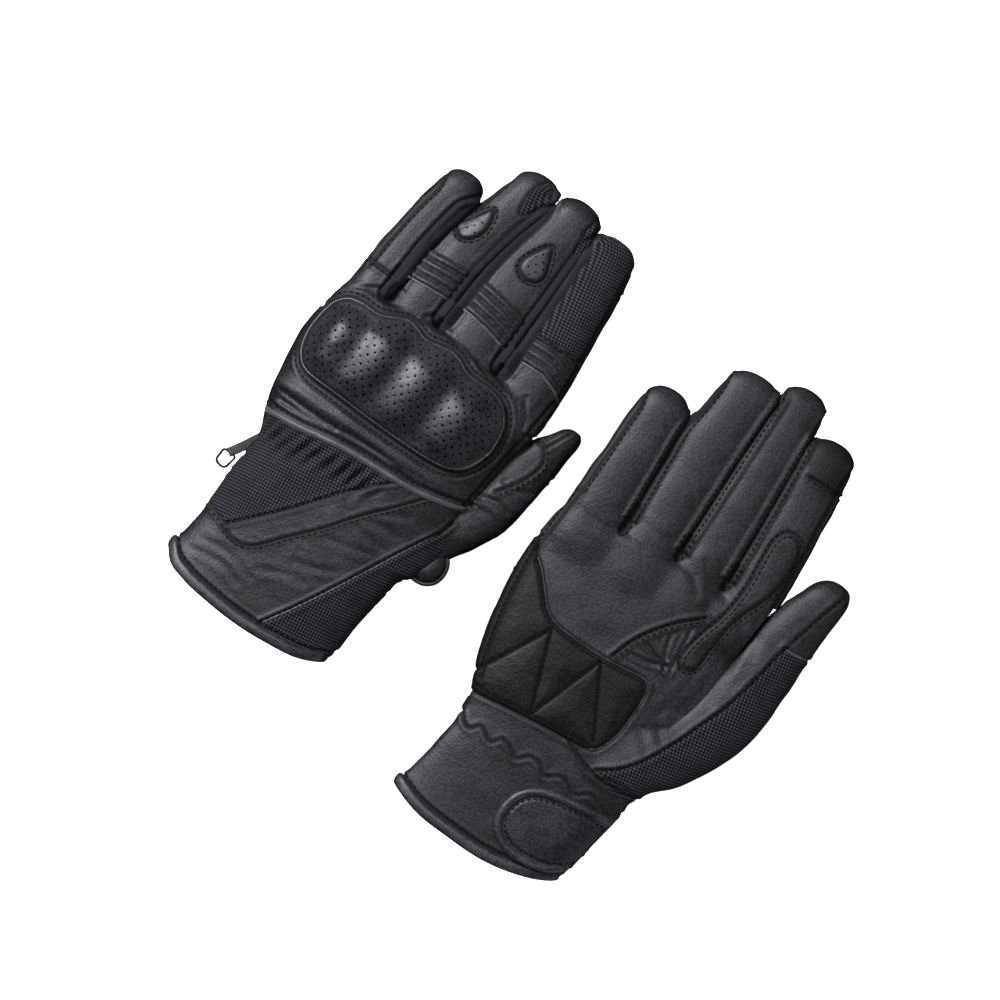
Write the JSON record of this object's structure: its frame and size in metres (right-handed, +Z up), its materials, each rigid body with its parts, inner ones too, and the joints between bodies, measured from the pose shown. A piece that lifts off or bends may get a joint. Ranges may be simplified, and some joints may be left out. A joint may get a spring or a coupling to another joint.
{
  "type": "motorcycle riding gloves",
  "caption": "Pair of short-cuff leather and mesh riding gloves with padded knuckle guards, curling fingers and wrist straps; the left lies palm down, the right palm up.",
  "frame": {"origin": "the middle of the pair's footprint, on the surface that it lies on", "axes": "+Y from the cuffs towards the fingertips, +X from the left glove to the right one, +Z up"},
  "size_m": [0.295, 0.2946, 0.034],
  "materials": {
    "leather": "soft black cowhide with a fine grain",
    "guard_leather": "perforated black leather, semi-gloss",
    "foam": "closed-cell foam",
    "mesh": "open black polyester mesh",
    "binding": "charcoal satin binding",
    "knit": "black stretch knit",
    "touch_leather": "smooth touch-sensitive leather",
    "strap_leather": "black leather",
    "hook_and_loop": "hook-and-loop tape",
    "webbing": "woven tape",
    "wire": "black painted wire"
  },
  "bodies": {
    "left_hand": {"left_hand_back": "leather", "left_hand_palm": "leather", "left_cuff_back": "leather", "left_cuff_palm": "leather", "left_cuff_gusset": "mesh", "left_cuff_binding": "binding", "left_fourchettes": "knit", "left_knuckle_guard": "guard_leather", "left_knuckle_foam": "foam", "left_wrist_piping": "binding", "left_heel_pad": "leather", "left_grip_patch": "leather", "left_cuff_loop_patch": "hook_and_loop", "left_ring_tab": "webbing"},
    "left_thumb": {"left_thumb_base": "leather"},
    "left_thumb_end": {"left_thumb_tip": "leather"},
    "left_index": {"left_index_base": "leather"},
    "left_index_end": {"left_index_tip": "leather", "left_index_touch_tip": "touch_leather"},
    "left_middle": {"left_middle_base": "leather", "left_middle_finger_pad": "guard_leather"},
    "left_middle_end": {"left_middle_tip": "leather"},
    "left_ring": {"left_ring_base": "leather", "left_ring_finger_pad": "guard_leather"},
    "left_ring_end": {"left_ring_tip": "leather"},
    "left_little": {"left_little_base": "leather"},
    "left_little_end": {"left_little_tip": "leather"},
    "left_strap": {"left_strap": "strap_leather", "left_strap_hook_patch": "hook_and_loop"},
    "left_ring_loop": {"left_wire_ring": "wire"},
    "right_hand": {"right_hand_back": "leather", "right_hand_palm": "leather", "right_cuff_back": "leather", "right_cuff_palm": "leather", "right_cuff_gusset": "mesh", "right_cuff_binding": "binding", "right_fourchettes": "knit", "right_knuckle_guard": "guard_leather", "right_knuckle_foam": "foam", "right_wrist_piping": "binding", "right_heel_pad": "leather", "right_grip_patch": "leather", "right_cuff_loop_patch": "hook_and_loop", "right_ring_tab": "webbing"},
    "right_thumb": {"right_thumb_base": "leather"},
    "right_thumb_end": {"right_thumb_tip": "leather"},
    "right_index": {"right_index_base": "leather"},
    "right_index_end": {"right_index_tip": "leather", "right_index_touch_tip": "touch_leather"},
    "right_middle": {"right_middle_base": "leather", "right_middle_finger_pad": "guard_leather"},
    "right_middle_end": {"right_middle_tip": "leather"},
    "right_ring": {"right_ring_base": "leather", "right_ring_finger_pad": "guard_leather"},
    "right_ring_end": {"right_ring_tip": "leather"},
    "right_little": {"right_little_base": "leather"},
    "right_little_end": {"right_little_tip": "leather"},
    "right_strap": {"right_strap": "strap_leather", "right_strap_hook_patch": "hook_and_loop"},
    "right_ring_loop": {"right_wire_ring": "wire"}
  },
  "joints": [
    {"name": "left_thumb_knuckle", "type": "hinge", "parent": "left_hand", "child": "left_thumb", "pos_m": [-0.0177, -0.00766, 0.0019], "axis": [-0.9945, 0.1045, 0], "range_deg": [0, 40]},
    {"name": "left_thumb_bend", "type": "hinge", "parent": "left_thumb", "child": "left_thumb_end", "pos_m": [-0.01488, 0.01919, 0.0019], "axis": [-0.9945, 0.1045, 0], "range_deg": [0, 60]},
    {"name": "left_index_knuckle", "type": "hinge", "parent": "left_hand", "child": "left_index", "pos_m": [-0.03718, 0.06876, 0.0019], "axis": [-0.9963, -0.0854, 0], "range_deg": [0, 75]},
    {"name": "left_index_bend", "type": "hinge", "parent": "left_index", "child": "left_index_end", "pos_m": [-0.04, 0.10164, 0.0019], "axis": [-0.9963, -0.0854, 0], "range_deg": [0, 80]},
    {"name": "left_middle_knuckle", "type": "hinge", "parent": "left_hand", "child": "left_middle", "pos_m": [-0.07295, 0.07032, 0.0019], "axis": [-0.9949, 0.1011, 0], "range_deg": [0, 75]},
    {"name": "left_middle_bend", "type": "hinge", "parent": "left_middle", "child": "left_middle_end", "pos_m": [-0.06941, 0.10514, 0.0019], "axis": [-0.9949, 0.1011, 0], "range_deg": [0, 80]},
    {"name": "left_ring_knuckle", "type": "hinge", "parent": "left_hand", "child": "left_ring", "pos_m": [-0.10712, 0.07181, 0.0019], "axis": [-0.9711, 0.2385, 0], "range_deg": [0, 75]},
    {"name": "left_ring_bend", "type": "hinge", "parent": "left_ring", "child": "left_ring_end", "pos_m": [-0.09877, 0.1058, 0.0019], "axis": [-0.9711, 0.2385, 0], "range_deg": [0, 80]},
    {"name": "left_little_knuckle", "type": "hinge", "parent": "left_hand", "child": "left_little", "pos_m": [-0.13009, 0.07282, 0.0019], "axis": [-0.99, 0.1409, 0], "range_deg": [0, 75]},
    {"name": "left_little_bend", "type": "hinge", "parent": "left_little", "child": "left_little_end", "pos_m": [-0.12629, 0.09955, 0.0019], "axis": [-0.99, 0.1409, 0], "range_deg": [0, 75]},
    {"name": "left_strap_hinge", "type": "hinge", "parent": "left_hand", "child": "left_strap", "pos_m": [-0.03938, -0.0893, 0.0027], "axis": [-0.0436, -0.999, 0], "range_deg": [0, 150]},
    {"name": "left_ring_swing", "type": "hinge", "parent": "left_hand", "child": "left_ring_loop", "pos_m": [-0.14296, -0.05224, 0.0006], "axis": [-0.999, 0.0436, 0], "range_deg": [0, 90]},
    {"name": "right_glove_part", "type": "slide", "parent": "left_hand", "child": "right_hand", "axis": [1, 0, 0], "range_m": [0, 0.1]},
    {"name": "right_thumb_knuckle", "type": "hinge", "parent": "right_hand", "child": "right_thumb", "pos_m": [0.13485, -0.02902, 0.0321], "axis": [0.9999, -0.014, 0], "range_deg": [0, 40]},
    {"name": "right_thumb_bend", "type": "hinge", "parent": "right_thumb", "child": "right_thumb_end", "pos_m": [0.13544, 0.01297, 0.0321], "axis": [0.9999, -0.014, 0], "range_deg": [0, 60]},
    {"name": "right_index_knuckle", "type": "hinge", "parent": "right_hand", "child": "right_index", "pos_m": [0.10638, 0.0453, 0.0321], "axis": [0.994, 0.1097, 0], "range_deg": [0, 75]},
    {"name": "right_index_bend", "type": "hinge", "parent": "right_index", "child": "right_index_end", "pos_m": [0.10265, 0.0791, 0.0321], "axis": [0.994, 0.1097, 0], "range_deg": [0, 80]},
    {"name": "right_middle_knuckle", "type": "hinge", "parent": "right_hand", "child": "right_middle", "pos_m": [0.07801, 0.04407, 0.0321], "axis": [0.9993, 0.0366, 0], "range_deg": [0, 75]},
    {"name": "right_middle_bend", "type": "hinge", "parent": "right_middle", "child": "right_middle_end", "pos_m": [0.07655, 0.08404, 0.0321], "axis": [0.9993, 0.0366, 0], "range_deg": [0, 80]},
    {"name": "right_ring_knuckle", "type": "hinge", "parent": "right_hand", "child": "right_ring", "pos_m": [0.05124, 0.0429, 0.0321], "axis": [0.9997, 0.0227, 0], "range_deg": [0, 75]},
    {"name": "right_ring_bend", "type": "hinge", "parent": "right_ring", "child": "right_ring_end", "pos_m": [0.05037, 0.08089, 0.0321], "axis": [0.9997, 0.0227, 0], "range_deg": [0, 80]},
    {"name": "right_little_knuckle", "type": "hinge", "parent": "right_hand", "child": "right_little", "pos_m": [0.02147, 0.0416, 0.0321], "axis": [0.9993, 0.0366, 0], "range_deg": [0, 75]},
    {"name": "right_little_bend", "type": "hinge", "parent": "right_little", "child": "right_little_end", "pos_m": [0.02048, 0.06858, 0.0321], "axis": [0.9993, 0.0366, 0], "range_deg": [0, 75]},
    {"name": "right_strap_hinge", "type": "hinge", "parent": "right_hand", "child": "right_strap", "pos_m": [0.11338, -0.11254, 0.0313], "axis": [-0.0436, 0.999, 0], "range_deg": [0, 150]},
    {"name": "right_ring_swing", "type": "hinge", "parent": "right_hand", "child": "right_ring_loop", "pos_m": [0.02554, -0.08385, 0.0006], "axis": [0.999, 0.0436, 0], "range_deg": [0, 90]}
  ]
}
